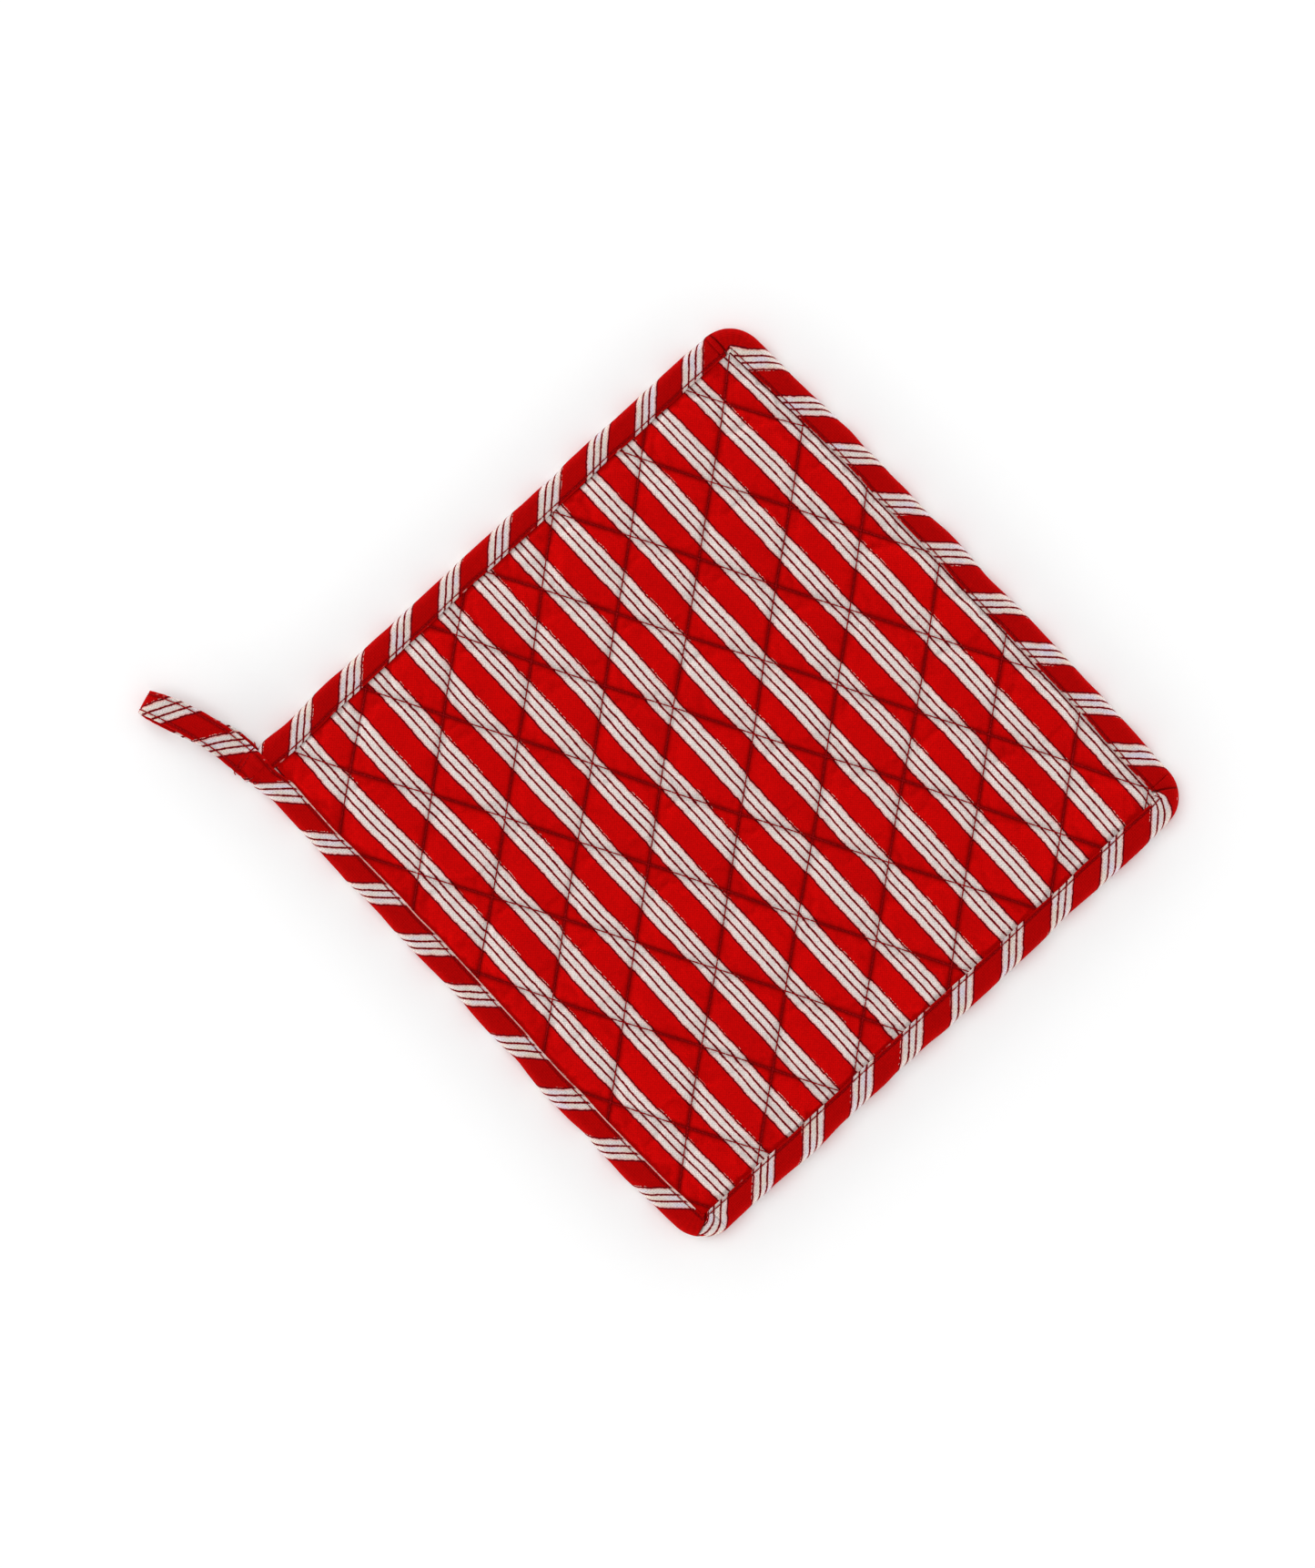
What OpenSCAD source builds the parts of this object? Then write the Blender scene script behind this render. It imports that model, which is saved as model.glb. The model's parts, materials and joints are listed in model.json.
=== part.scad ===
/* [Pad] */
// Side of the square pad, over its binding
pad_side = 200; // [160:1:240]
// Radius of the pad's outer corners
corner_radius = 11; // [10:0.5:16]
// Thickness of the pad over its quilted middle
pad_thickness = 9; // [7:0.5:12]
// Width of the slope between the binding and the level middle
margin_width = 9.6; // [6:0.2:14]

/* [Layers] */
// Thickness of the printed cotton on each face
cloth_thickness = 0.4; // [0.3:0.05:0.6]
// Thickness of the insulating layer between the two waddings
barrier_thickness = 0.8; // [0.6:0.1:1.2]
// Height of the insulating layer above the surface that the pad lies on
barrier_height = 3; // [2.8:0.1:3.4]

/* [Binding] */
// Width of the binding that shows on each face
binding_width = 8.1; // [7:0.1:9]
// Thickness of the folded binding cloth
binding_thickness = 0.9; // [0.7:0.1:1.1]
// Height of the bound edge, over both folds of the binding
bound_height = 5.6; // [5.2:0.1:6]
// Distance from the binding's inner fold to its row of stitches
stitch_inset = 1; // [0.6:0.1:2]

/* [Quilting] */
// Angle of the steep quilting lines below the X axis
steep_angle = 61; // [50:0.5:70]
// Distance between neighbouring steep lines
steep_pitch = 23; // [18:0.2:30]
// Distance of the first steep line from the pad's centre
steep_start = -6.8; // [-15:0.1:15]
// Angle of the shallow quilting lines above the X axis
shallow_angle = 38; // [25:0.2:45]
// Distance between neighbouring shallow lines
shallow_pitch = 23.2; // [18:0.2:30]
// Distance of the first shallow line from the pad's centre
shallow_start = -8; // [-15:0.1:15]

/* [Thread] */
// Width of a sewn thread
thread_width = 0.45; // [0.3:0.05:0.6]
// Height of a sewn thread above the binding, and its depth in the quilted cloth
thread_height = 0.25; // [0.15:0.05:0.3]

/* [Hanging loop] */
// Distance from the loop's root axis to the outside of its tip
loop_length = 34.5; // [28:0.5:45]
// Width of the loop's tape
loop_width = 8.8; // [7:0.2:10]
// Thickness of the loop's folded tape
loop_tape = 1.2; // [0.9:0.1:1.3]
// Outer radius of the fold at the tip
loop_tip_radius = 4.2; // [3.9:0.1:4.4]
// Outer radius of the closed root
loop_root_radius = 1.4; // [1.4:0.05:1.6]
// Lean of the loop away from the side that its tape continues
loop_lean = 19.4; // [10:0.2:30]

/* [Hidden] */
$fn = 64;

half = pad_side / 2;

// The bound edge: its middle height, the channel inside the binding, and the gap at the channel's floor
edge_z = barrier_height + barrier_thickness / 2;
roll_radius = bound_height / 2;
channel_half = roll_radius - binding_thickness;
channel_floor = 1.5;
edge_clearance = 0.1;

// The layers run out to this outline under the binding
layer_half = half - channel_floor - edge_clearance;
layer_corner = corner_radius - channel_floor - edge_clearance;

// The field is the part of each face inside the binding
field_clearance = 0.3;
field_half = half - binding_width - field_clearance;
field_corner = corner_radius - binding_width - field_clearance;
crown_half = field_half - margin_width;

// Heights above and below the insulating layer, at the bound edge and over the middle
edge_rise = channel_half - barrier_thickness / 2;
front_rise = pad_thickness - barrier_height - barrier_thickness;
back_rise = barrier_height;

// The binding's rows of stitches
stitch_half = half - binding_width + stitch_inset;
stitch_corner = corner_radius - binding_width + stitch_inset;

// The loop's root axis stands just off the corner where the binding's last side runs on
root_inset = 3;
root_outset = 0.4;
loop_root = [-half + root_inset, half + root_outset, edge_z];
tip_clearance = 0.3;
tip_centre = [loop_length - loop_tip_radius, loop_tip_radius + tip_clearance - edge_z];
root_fullness = 0.05;
tip_steps = 28;
root_steps = 12;
loop_row_inset = 1.1;
loop_row_start = 4;

// The binding's run-on, which the loop's root hinges from
run_on_gap = 0.4;
run_on_thickness = 2.4;
run_on_wall = 0.3;
tack_inset = 0.8;

// Colours
printed_red = "firebrick";
dark_red = "darkred";
natural_cotton = "antiquewhite";

// A square outline with rounded corners
module rounded_square(outline_half, radius) {
    union() {
        square([2 * outline_half, 2 * (outline_half - radius)], center = true);
        square([2 * (outline_half - radius), 2 * outline_half], center = true);
        for (x = [-1, 1], y = [-1, 1])
            translate([x * (outline_half - radius), y * (outline_half - radius)])
                circle(r = radius);
    }
}

// The side view of the field: upright to the shoulder, then sloping in to the crown
module crown_profile(shoulder, crown) {
    polygon([
        [-field_half, 0], [field_half, 0], [field_half, shoulder],
        [crown_half, crown], [-crown_half, crown], [-field_half, shoulder]
    ]);
}

// Everything between the insulating layer and a face: thin under the binding, full over the field
module face_stack(shoulder, crown) {
    union() {
        linear_extrude(height = shoulder) rounded_square(layer_half, layer_corner);
        intersection() {
            rotate([90, 0, 0])
                linear_extrude(height = pad_side, center = true) crown_profile(shoulder, crown);
            rotate([90, 0, 90])
                linear_extrude(height = pad_side, center = true) crown_profile(shoulder, crown);
            linear_extrude(height = crown) rounded_square(field_half, field_corner);
        }
    }
}

// The stack above the insulating layer, its surface sunk by depth
module front_stack(depth = 0) {
    translate([0, 0, barrier_height + barrier_thickness])
        face_stack(edge_rise - depth, front_rise - depth);
}

// The stack below the insulating layer, its surface sunk by depth
module back_stack(depth = 0) {
    translate([0, 0, barrier_height])
        mirror([0, 0, 1]) face_stack(edge_rise - depth, back_rise - depth);
}

// Parallel sewn lines across the field, in plan
module sewn_lines(angle, pitch, start) {
    reach = ceil(pad_side / pitch);
    intersection() {
        rounded_square(field_half - field_clearance, field_corner - field_clearance);
        rotate(angle)
            for (line = [-reach : reach])
                translate([0, start + line * pitch])
                    square([2 * pad_side, thread_width], center = true);
    }
}

// Sewn lines drawn flush into the front cloth
module front_thread(angle, pitch, start) {
    color(dark_red)
        difference() {
            intersection() {
                linear_extrude(height = pad_side) sewn_lines(angle, pitch, start);
                front_stack();
            }
            front_stack(thread_height);
        }
}

// Sewn lines drawn flush into the back cloth
module back_thread(angle, pitch, start) {
    color(dark_red)
        difference() {
            intersection() {
                linear_extrude(height = pad_side) sewn_lines(angle, pitch, start);
                back_stack();
            }
            back_stack(thread_height);
        }
}

module front_cloth() {
    color(printed_red)
        difference() {
            front_stack();
            front_stack(cloth_thickness);
        }
}

module front_wadding() {
    color(natural_cotton) front_stack(cloth_thickness);
}

module heat_barrier() {
    color("silver")
        translate([0, 0, barrier_height])
            linear_extrude(height = barrier_thickness) rounded_square(layer_half, layer_corner);
}

module back_wadding() {
    color(natural_cotton) back_stack(cloth_thickness);
}

module back_cloth() {
    color(printed_red)
        difference() {
            back_stack();
            back_stack(cloth_thickness);
        }
}

module quilting_thread_steep_front() {
    front_thread(-steep_angle, steep_pitch, steep_start);
}

module quilting_thread_shallow_front() {
    front_thread(shallow_angle, shallow_pitch, shallow_start);
}

module quilting_thread_steep_back() {
    back_thread(-steep_angle, steep_pitch, steep_start);
}

module quilting_thread_shallow_back() {
    back_thread(shallow_angle, shallow_pitch, shallow_start);
}

// The folded strip in section, its outer roll reaching to x = 0 and its channel open towards -x
module binding_section() {
    difference() {
        union() {
            translate([-roll_radius, 0]) circle(r = roll_radius);
            translate([-binding_width, -roll_radius])
                square([binding_width - roll_radius, bound_height]);
        }
        translate([-binding_width - 1, -channel_half])
            square([binding_width + 1 - channel_floor, 2 * channel_half]);
    }
}

// The binding carried straight past its last corner, up to the loop's root
module run_on() {
    end = loop_root_radius + run_on_gap;
    translate([0, 0, edge_z])
        linear_extrude(height = run_on_thickness, center = true)
            difference() {
                polygon([
                    [-half, half - corner_radius],
                    loop_point(-end, -loop_width / 2),
                    loop_point(-end, loop_width / 2),
                    [-half + corner_radius, half - 2 * roll_radius]
                ]);
                rounded_square(half - channel_floor + run_on_wall, corner_radius - channel_floor + run_on_wall);
            }
}

// A point in plan, from its distance along the loop and across it
function loop_point(along, across) = [
    loop_root.x - along * sin(loop_lean) + across * cos(loop_lean),
    loop_root.y + along * cos(loop_lean) + across * sin(loop_lean)
];

module binding() {
    straight = 2 * (half - corner_radius);
    color(printed_red)
        union() {
            for (side = [0 : 3])
                rotate([0, 0, 90 * side])
                    translate([0, 0, edge_z]) {
                        translate([half, 0, 0])
                            rotate([90, 0, 0])
                                linear_extrude(height = straight, center = true) binding_section();
                        translate([half - corner_radius, half - corner_radius, 0])
                            rotate_extrude(angle = 90)
                                translate([corner_radius, 0]) binding_section();
                    }
            run_on();
        }
}

// A closed row of stitches round the pad
module stitch_ring() {
    linear_extrude(height = thread_height)
        difference() {
            rounded_square(stitch_half + thread_width / 2, stitch_corner + thread_width / 2);
            rounded_square(stitch_half - thread_width / 2, stitch_corner - thread_width / 2);
        }
}

module binding_stitching_front() {
    color(dark_red) translate([0, 0, edge_z + roll_radius]) stitch_ring();
}

module binding_stitching_back() {
    color(dark_red) translate([0, 0, edge_z - roll_radius - thread_height]) stitch_ring();
}

// Points along an arc, in equal steps
function arc_points(centre, radius, from, to, steps) = [
    for (i = [0 : steps])
        let (angle = from + (to - from) * i / steps)
            centre + radius * [cos(angle), sin(angle)]
];

// The loop's strands in side view, grown or shrunk by grow, from the root round the tip and back
module loop_strands(grow) {
    root_r = loop_root_radius + grow;
    tip_r = loop_tip_radius + grow;
    rise = atan2(tip_centre.y, tip_centre.x);
    spread = acos((root_r - tip_r) / norm(tip_centre));
    polygon(concat(
        arc_points(tip_centre, tip_r, rise - spread, rise + spread, tip_steps),
        arc_points([0, 0], root_r, rise + spread, rise + 360 - spread, root_steps)
    ));
}

// Something drawn in the loop's side view, as wide as given, set where the loop is
module on_loop(width, across = 0) {
    translate(loop_root)
        rotate([0, 0, 90 + loop_lean])
            translate([0, -across, 0])
                rotate([90, 0, 0])
                    linear_extrude(height = width, center = true) children();
}

module hanging_loop() {
    color(printed_red)
        on_loop(loop_width)
            difference() {
                union() {
                    loop_strands(0);
                    circle(r = loop_root_radius + root_fullness);
                }
                loop_strands(-loop_tape);
            }
}

module loop_edge_stitching() {
    across = loop_width / 2 - loop_row_inset;
    color(dark_red)
        for (side = [-1, 1])
            on_loop(thread_width, side * across)
                difference() {
                    loop_strands(thread_height);
                    loop_strands(0);
                    translate([-loop_length + loop_row_start, 0])
                        square([2 * loop_length, 2 * loop_length], center = true);
                }
}

module loop_tack_stitching() {
    color(dark_red)
        translate([loop_root.x, loop_root.y, edge_z])
            rotate([0, 0, 90 + loop_lean])
                for (up = [-1, 1])
                    translate([
                        -loop_root_radius - run_on_gap - tack_inset,
                        0,
                        up * (run_on_thickness + thread_height) / 2
                    ])
                        cube([thread_width, loop_width - 2 * loop_row_inset, thread_height], center = true);
}

front_cloth();
front_wadding();
heat_barrier();
back_wadding();
back_cloth();
quilting_thread_steep_front();
quilting_thread_shallow_front();
quilting_thread_steep_back();
quilting_thread_shallow_back();
binding();
binding_stitching_front();
binding_stitching_back();
loop_tack_stitching();
hanging_loop();
loop_edge_stitching();
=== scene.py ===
"""A square quilted pot holder in block-printed cotton, with a bound edge and a hanging loop.

Shapes are worked out in millimetres, in the CAD model's frame, and each mesh is then made in metres.
"""

import json
import math

import bpy
import numpy as np
from mathutils import Matrix, Vector


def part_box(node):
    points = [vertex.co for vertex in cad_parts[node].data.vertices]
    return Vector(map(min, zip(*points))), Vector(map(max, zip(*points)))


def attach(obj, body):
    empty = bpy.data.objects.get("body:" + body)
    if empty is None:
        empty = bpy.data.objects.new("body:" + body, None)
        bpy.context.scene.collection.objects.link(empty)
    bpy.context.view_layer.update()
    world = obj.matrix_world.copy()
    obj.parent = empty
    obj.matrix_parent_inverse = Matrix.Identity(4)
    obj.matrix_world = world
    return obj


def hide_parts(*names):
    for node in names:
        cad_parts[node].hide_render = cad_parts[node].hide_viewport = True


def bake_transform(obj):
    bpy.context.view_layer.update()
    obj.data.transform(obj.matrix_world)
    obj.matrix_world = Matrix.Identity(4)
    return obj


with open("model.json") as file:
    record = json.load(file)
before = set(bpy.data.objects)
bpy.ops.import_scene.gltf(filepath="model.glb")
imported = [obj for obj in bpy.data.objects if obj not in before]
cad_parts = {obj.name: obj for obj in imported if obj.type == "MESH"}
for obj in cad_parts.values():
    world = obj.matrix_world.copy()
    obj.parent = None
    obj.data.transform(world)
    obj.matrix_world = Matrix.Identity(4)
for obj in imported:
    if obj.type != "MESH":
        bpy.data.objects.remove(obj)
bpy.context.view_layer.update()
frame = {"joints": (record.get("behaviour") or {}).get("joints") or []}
MM = 0.001


# ---- sizes, from the frame


def node_box(node):
    """The lowest and highest corner of a CAD node, in millimetres."""
    low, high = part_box(node)
    return np.array(low) / MM, np.array(high) / MM


BINDING_HIGH = node_box("binding")[1]
BARRIER_LOW, BARRIER_HIGH = node_box("heat_barrier")
HALF = round(float(BINDING_HIGH[0]), 1)  # half of the pad's side
EDGE_Z = float(BARRIER_LOW[2] + BARRIER_HIGH[2]) / 2  # middle of the bound edge's thickness
ROLL = float(BINDING_HIGH[2]) - EDGE_Z  # half of the bound edge's thickness
LAYER_HALF = float(BARRIER_HIGH[0])  # half of the side of the layers inside
CROWN_Z = float(node_box("front_cloth")[1][2])  # top of the puffs
CORNER_R = 11.0
BINDING_W = 8.1  # width of the binding on each face
BINDING_T = 0.9  # thickness of its folded cloth

LOOP_JOINT = frame["joints"][0]
ROOT = np.array(LOOP_JOINT["pos_m"]) / MM
LOOP_AXIS = np.array(LOOP_JOINT["axis"]) / np.linalg.norm(LOOP_JOINT["axis"])
LOOP_DIR = np.array([-LOOP_AXIS[1], LOOP_AXIS[0], 0.0])

# ---- small helpers


def smoothstep(t):
    t = np.clip(t, 0, 1)
    return t * t * (3 - 2 * t)


def bump(t, width):
    """A smooth bump of height 1 at t = 0."""
    return np.exp(-((t / width) ** 2))


def blended(table, i, j, f, g):
    """A mixture of a table's four entries from (i, j), by the fractions f and g."""
    n = len(table)
    low = table[i % n, j % n] * (1 - f) + table[(i + 1) % n, j % n] * f
    high = table[i % n, (j + 1) % n] * (1 - f) + table[(i + 1) % n, (j + 1) % n] * f
    return low * (1 - g) + high * g


def value_noise(x, y, cell, seed):
    """Smooth noise from -1 to 1 over the plane, with bumps about cell wide."""
    table = np.random.default_rng(seed).uniform(-1, 1, (64, 64))
    gx, gy = np.broadcast_arrays(np.asarray(x, float) / cell, np.asarray(y, float) / cell)
    ix, iy = np.floor(gx).astype(int), np.floor(gy).astype(int)
    fx, fy = smoothstep(gx - ix), smoothstep(gy - iy)
    return blended(table, ix, iy, fx, fy)


def grid_quads(rows, cols, wrap=False):
    """Quads of a grid of points, rows by cols, closed round its columns if wrap is set."""
    r, c = np.meshgrid(np.arange(rows - 1), np.arange(cols if wrap else cols - 1), indexing="ij")
    a, b = r * cols + c, r * cols + (c + 1) % cols
    return np.stack([a, b, b + cols, a + cols], -1).reshape(-1, 4)


def signed_volume(points, faces):
    """Six times the volume inside a closed mesh, below 0 if its faces point inwards."""
    triangles = np.array([(face[0], j, k) for face in faces for j, k in zip(face[1:], face[2:])])
    first, second, third = (points[triangles[:, k]] for k in range(3))
    return float(np.sum(first * np.cross(second, third)))


def new_object(name, data):
    """An object in the scene."""
    made = bpy.data.objects.new(name, data)
    bpy.context.scene.collection.objects.link(made)
    return made


def mesh_piece(name, points, faces, material, closed=False, **attributes):
    """A smooth-shaded object from points in millimetres, with a vector attribute for each keyword."""
    points = out_of_square(np.asarray(points, float).reshape(-1, 3))
    faces = [list(map(int, f)) for f in faces]
    if closed and signed_volume(points, faces) < 0:
        faces = [f[::-1] for f in faces]
    mesh = bpy.data.meshes.new(name)
    mesh.from_pydata((points * MM).tolist(), [], faces)
    for label, values in attributes.items():
        layer = mesh.attributes.new(label, "FLOAT_VECTOR", "POINT")
        layer.data.foreach_set("vector", np.asarray(values, np.float32).ravel())
    mesh.shade_smooth()
    mesh.materials.append(material)
    return new_object(name, mesh)


PUSHES = [
    {"at": (100, 100), "by": (-2.9, -0.9), "reach": 34},
    {"at": (100, -50), "by": (1.0, 0.0), "reach": 62},
    {"at": (-100, 74), "by": (-1.2, 0.0), "reach": 38},
    {"at": (-100, -40), "by": (-0.4, 0.0), "reach": 40},
    {"at": (-100, -100), "by": (1.6, 0.3), "reach": 26},
]


def out_of_square(points):
    """The small pulls and bulges that keep a hand-sewn pad from being a perfect square."""
    moved = np.array(points, float)
    for push in PUSHES:
        away = np.hypot(points[:, 0] - push["at"][0], points[:, 1] - push["at"][1])
        moved[:, :2] += bump(away, push["reach"])[:, None] * np.array(push["by"])
    return moved


def stands_for(piece, node, body="pad"):
    """Makes a piece ride on a body in place of a CAD node."""
    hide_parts(node)
    if body:
        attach(piece, body)
    return piece


# ---- node materials


def srgb(r, g, b):
    """A colour given as 0-255 values on screen, as linear light."""
    def linear(c):
        c = c / 255
        return c / 12.92 if c < 0.04045 else ((c + 0.055) / 1.055) ** 2.4
    return (linear(r), linear(g), linear(b), 1.0)


def math_node(operation):
    """A method of Value that adds one Math node."""
    return lambda value, *others: value.graph.calc(operation, value, *others)


class Value:
    """A number that varies over a surface. Arithmetic on it adds Math nodes to its material."""

    def __init__(self, graph, socket):
        self.graph, self.socket = graph, socket

    __add__ = math_node("ADD")
    __sub__ = math_node("SUBTRACT")
    __mul__ = math_node("MULTIPLY")
    abs = math_node("ABSOLUTE")
    round = math_node("ROUND")
    max = math_node("MAXIMUM")
    min = math_node("MINIMUM")
    sine = math_node("SINE")
    exponential = math_node("EXPONENT")
    above = math_node("GREATER_THAN")

    def below(self, edge, soft):
        """1 where this is under edge, 0 where it is over, with a soft change between."""
        return ((self - edge) * (-1 / soft) + 0.5).clamp()

    def clamp(self):
        return Value(self.graph, self.graph.node("ShaderNodeClamp", Value=self).outputs[0])


class Graph:
    """The nodes of a material, or of the world."""

    def __init__(self, owner):
        owner.use_nodes = True
        self.owner, self.tree = owner, owner.node_tree

    def feed(self, socket, value):
        if isinstance(value, Value):
            value = value.socket
        if isinstance(value, bpy.types.NodeSocket):
            self.tree.links.new(value, socket)
        else:
            socket.default_value = value

    def node(self, kind, settings=(), **inputs):
        node = self.tree.nodes.new(kind)
        for key, value in dict(settings).items():
            setattr(node, key, value)
        for key, value in inputs.items():
            self.feed(node.inputs[key.replace("_", " ")], value)
        return node

    def calc(self, operation, *values):
        node = self.node("ShaderNodeMath", {"operation": operation})
        for socket, value in zip(node.inputs, values):
            self.feed(socket, value)
        return Value(self, node.outputs[0])

    def split(self, vector):
        """A vector's three numbers."""
        return [Value(self, number) for number in self.node("ShaderNodeSeparateXYZ", Vector=vector).outputs]

    def attribute(self, name):
        """The three numbers of a vector attribute."""
        return self.split(self.node("ShaderNodeAttribute", {"attribute_name": name}).outputs["Vector"])

    def position(self):
        """Where a point is on the object, in millimetres."""
        return [v * 1000.0 for v in self.split(self.node("ShaderNodeTexCoord").outputs["Object"])]

    def noise(self, x, y, z=0.0, detail=1.0):
        """Noise about 0, mostly from -0.3 to 0.3, that changes over one unit of x, y and z."""
        place = self.node("ShaderNodeCombineXYZ", X=x, Y=y, Z=z)
        node = self.node("ShaderNodeTexNoise", Vector=place.outputs[0], Scale=1.0, Detail=detail)
        return Value(self, node.outputs["Fac"]) - 0.5

    def mix(self, amount, a, b):
        """Colour a where amount is 0 and b where it is 1."""
        node = self.node("ShaderNodeMix", {"data_type": "RGBA"})
        self.feed(node.inputs["Factor"], amount)
        self.feed(node.inputs[6], a)
        self.feed(node.inputs[7], b)
        return node.outputs[2]

    def shade(self, colour, amount):
        """A colour made lighter or darker by a factor."""
        scale = self.node("ShaderNodeVectorMath", {"operation": "SCALE"}, Scale=amount)
        self.feed(scale.inputs[0], colour[:3] if isinstance(colour, tuple) else colour)
        return scale.outputs[0]

    def finish(self, colour, height, depth):
        """Connects the material's colour, and a height in units of depth millimetres."""
        shader = self.tree.nodes["Principled BSDF"]
        self.feed(shader.inputs["Base Color"], colour)
        relief = self.node("ShaderNodeBump", Strength=1.0, Distance=depth * MM, Height=height)
        self.feed(shader.inputs["Normal"], relief.outputs[0])
        return self.owner


def material_graph(name, roughness, specular, sheen):
    """A new material, with the gloss that it has all over."""
    g = Graph(bpy.data.materials.new(name))
    sockets = ("Roughness", "Specular IOR Level", "Sheen Weight", "Sheen Roughness")
    for socket, value in zip(sockets, (roughness, specular, sheen, 0.6)):
        g.tree.nodes["Principled BSDF"].inputs[socket].default_value = value
    return g


STRIPE_PITCH = 14.31  # from one bundle of stripes to the next
BUNDLE_CHANNEL = 7.31  # sets each bundle apart in the noise
LINE_HALF = 0.28
WEAVE_PITCH = 0.45
WEAVE_DEPTH = 0.09
SEAM_SPACING = 23.0
# half: half of a bundle's width; line: its inner lines from its middle; ink, pale: brightness;
# tint: how far the cloth turns warm or lilac
FACE_PRINT = {"half": 3.32, "line": 1.12, "ink": 1.0, "pale": 1.0, "tint": 0.0}
# the strips' lower ink and pale brightness is partly painted shade of their tilted faces, partly their own
# deeper colour
STRIP_PRINT = {"half": 3.05, "line": 1.03, "ink": 0.75, "pale": 0.92, "tint": 0.8}

RED = srgb(196, 2, 1)
DEEP_RED = srgb(174, 1, 2)
MAROON = srgb(98, 1, 10)
NATURAL = srgb(214, 203, 198)
WARM = srgb(214, 198, 176)
LILAC = srgb(202, 195, 214)
BLEED = srgb(224, 124, 114)
WORN = srgb(236, 190, 180)
THREAD = srgb(148, 2, 6)


def stripe_marks(g, across, v, row, look):
    """Where a bundle is pale, inked, stained pink or flecked, at a distance across from its middle."""

    def ragged(channel, slow, fast):
        broad = g.noise(v * 0.25, row + channel, 3.1) * slow
        return broad + g.noise(v * 1.1, row + channel, 9.7, 3.0) * fast

    left = (across + ragged(1.3, 0.5, 0.55)) * -1.0 - look["half"]
    right = across + ragged(2.9, 0.5, 0.55) - look["half"]
    outside = left.max(right)
    pale = outside.below(-0.02, 0.14)
    outline_half = g.noise(v * 0.9, row + 5.0, 1.0, 2.0) * 0.3 + 0.24
    edges = (outside - 0.16).abs().below(outline_half, 0.1)
    first = (across + look["line"] + ragged(3.7, 0.3, 0.2)).abs()
    second = (across - look["line"] + ragged(4.1, 0.3, 0.35)).abs()
    line_half = g.noise(v * 1.3, row + 6.0, 2.0, 2.0) * 0.42 + LINE_HALF
    lines = first.below(line_half, 0.1).max(second.below(line_half, 0.1))
    bleed = first.min(second).min(outside.abs()).below(0.42, 0.3)
    chance = g.noise(v * 0.1, row + 8.0, 5.0)
    fleck = (right - 0.5 + g.noise(v * 0.8, row + 7.7, 2.0, 2.0) * 0.2).abs().below(0.06, 0.06)
    fleck = fleck * chance.below(-0.04, 0.05) * g.noise(v * 1.3, row + 9.0, 4.0).below(0.02, 0.05)
    return {"pale": pale, "ink": edges.max(lines * pale).clamp(), "bleed": bleed, "fleck": fleck.clamp()}


def cotton_colours(g, x, v, look):
    """The red ground, cloudy as a block print is, and the natural cloth, with its tints."""
    cloud = g.noise(x * 0.07, v * 0.07, 1.0, 3.0)
    grain = g.noise(x * 1.1, v * 1.1, 6.0, 2.0)
    red = g.shade(g.mix((cloud * 1.2 + grain * 0.9 + 0.45).clamp(), RED, DEEP_RED), look["ink"])
    warm = (g.noise(x * 0.25, v * 0.16, 7.0) * 2.5 + 0.15).clamp() * look["tint"]
    lilac = (g.noise(x * 0.3, v * 0.14, 13.0) * 3.5 + 0.1).clamp() * look["tint"]
    return red, g.mix(lilac, g.mix(warm, NATURAL, WARM), LILAC)


def block_print(g, u, v, look):
    """The hand-blocked stripes: u counts bundles of three pale bands, v is millimetres along them.

    Returns the colour, where it is pale, and the distance across in millimetres."""
    bundle = u.round()
    row = bundle * BUNDLE_CHANNEL
    across = (u - bundle) * STRIPE_PITCH + g.noise(v * 0.05, row) * 0.6
    marks = stripe_marks(g, across, v, row, look)
    x = across + bundle * STRIPE_PITCH
    red, natural = cotton_colours(g, x, v, look)
    stained = g.shade(g.mix(marks["bleed"] * 0.6, natural, BLEED), look["pale"])
    colour = g.mix(marks["pale"], red, stained)
    colour = g.mix(marks["ink"], colour, MAROON)
    return g.mix(marks["fleck"] * 0.8, colour, WORN), marks["pale"], x


def weave(g, x, v):
    """Height of a plain weave: warp and weft threads rising in turn."""
    turn = math.pi / WEAVE_PITCH
    warp, weft = (x * turn).sine(), (v * turn).sine()
    slub = g.noise(x * 2.2, v * 0.25, 2.0) + g.noise(x * 0.25, v * 2.2, 8.0)
    return warp * weft * 0.5 + slub * 0.8 + 0.5


def worn_and_shaded_folds(g, colour, pale, x, v):
    """A strip has painted shade, darker in its stitched dent and in the creases round its mitres, and real
    wear, rubbed pale along its inner fold.
    """
    fold, mitre, wear = g.attribute("folds")
    dent = ((fold - 1.0) * (fold - 1.0) * -5.0).exponential()
    corner = (mitre * mitre * -9.0).exponential()
    # painted shade in the stitched dent and in the mitre creases
    colour = g.shade(colour, dent * (pale * 0.3 - 0.35) + 1.0)
    colour = g.shade(colour, corner * -0.55 + 1.0)
    rubbed = (g.noise(v * 0.35, x * 0.35, 5.0, 2.0) * 5.0 + wear * 2.0 - 0.7).clamp()
    return g.mix(rubbed * fold.abs().below(0.36, 0.16) * 0.75, colour, WORN)


def painted_seam_shade(g, colour, pale):
    """Painted shade: a face is darker in its seam creases and stitch holes, most where it is red."""
    for seam in g.attribute("seams")[:2]:
        away = (seam - seam.round()).abs() * SEAM_SPACING
        crease_shade = (away * away * -1.6).exponential()
        hole_shade = (away * away * -14.0).exponential()
        colour = g.shade(colour, (crease_shade * 0.42 + hole_shade * 0.25) * (pale * 0.9 - 1.0) + 1.0)
    return colour


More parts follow.
